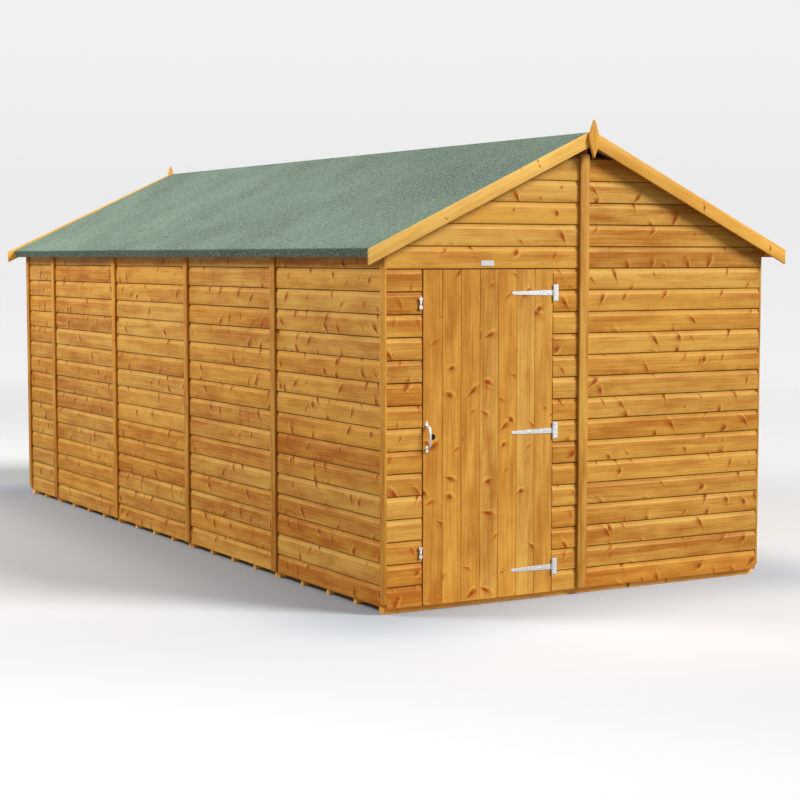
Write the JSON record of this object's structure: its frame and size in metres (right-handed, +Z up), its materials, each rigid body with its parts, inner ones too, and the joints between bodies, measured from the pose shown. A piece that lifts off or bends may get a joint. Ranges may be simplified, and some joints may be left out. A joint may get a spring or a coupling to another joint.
{
  "type": "wooden garden shed",
  "caption": "Windowless apex garden shed in shiplap boards with a felt roof, a ledged and braced door on tee hinges, turn buttons, and a boarded floor on bearers.",
  "frame": {"origin": "on the ground at the middle of the shed's bounding box", "axes": "+Z up; the gable with the door faces -Y; the ridge runs along Y; +X is to the right of someone facing the door"},
  "size_m": [2.646, 5.602, 2.485],
  "materials": {
    "cladding_timber": "golden dipped softwood, matt",
    "door_timber": "golden dipped softwood, matt",
    "wall_trim_timber": "golden dipped softwood, matt",
    "roof_trim_timber": "yellow dipped softwood, matt",
    "framing_timber": "sawn softwood",
    "sheeting_timber": "planed softwood boards",
    "roof_felt": "green mineral roofing felt",
    "galvanised_steel": "galvanised, spangled",
    "lock_black": "black lacquer",
    "plate_white": "plain pale plate"
  },
  "bodies": {
    "shed": {"floor_joists": "framing_timber", "floor_decking": "sheeting_timber", "left_wall_boards": "cladding_timber", "right_wall_boards": "cladding_timber", "side_wall_rails": "framing_timber", "side_wall_studs": "framing_timber", "left_cover_strips": "wall_trim_timber", "right_cover_strips": "wall_trim_timber", "front_corner_trims": "wall_trim_timber", "rear_corner_trims": "wall_trim_timber", "front_boards_left_of_door": "cladding_timber", "front_boards_right_of_door": "cladding_timber", "front_boards_over_door": "cladding_timber", "front_boards_right_panel": "cladding_timber", "front_wall_rails": "framing_timber", "front_wall_studs": "framing_timber", "front_cover_strip": "wall_trim_timber", "rear_wall_boards": "cladding_timber", "rear_wall_rails": "framing_timber", "rear_wall_studs": "framing_timber", "rear_cover_strip": "wall_trim_timber", "roof_boards_left": "sheeting_timber", "roof_boards_right": "sheeting_timber", "roof_felt_left": "roof_felt", "roof_felt_right": "roof_felt", "eaves_battens": "framing_timber", "rafters": "framing_timber", "collar_ties": "framing_timber", "front_bargeboards": "roof_trim_timber", "rear_bargeboards": "roof_trim_timber", "front_finial": "roof_trim_timber", "rear_finial": "roof_trim_timber", "lock_keep": "lock_black", "hinge_plates": "galvanised_steel", "turn_button_screws": "galvanised_steel", "name_plate": "plate_white"},
    "door": {"door_lock_board": "door_timber", "door_boards": "door_timber", "door_ledges": "door_timber", "door_braces": "door_timber", "rim_lock": "lock_black", "door_handle": "galvanised_steel", "hinge_straps": "galvanised_steel"},
    "lower_button": {"lower_turn_button": "galvanised_steel"},
    "upper_button": {"upper_turn_button": "galvanised_steel"}
  },
  "joints": [
    {"name": "door_hinge", "type": "hinge", "parent": "shed", "child": "door", "pos_m": [-0.2, -2.729, 0.879], "axis": [0, 0, 1], "range_deg": [0, 170]},
    {"name": "lower_button_turn", "type": "hinge", "parent": "shed", "child": "lower_button", "pos_m": [-1.0005, -2.73, 0.301], "axis": [0, -1, 0], "continuous": true},
    {"name": "upper_button_turn", "type": "hinge", "parent": "shed", "child": "upper_button", "pos_m": [-1.0005, -2.73, 1.55], "axis": [0, -1, 0], "continuous": true}
  ]
}
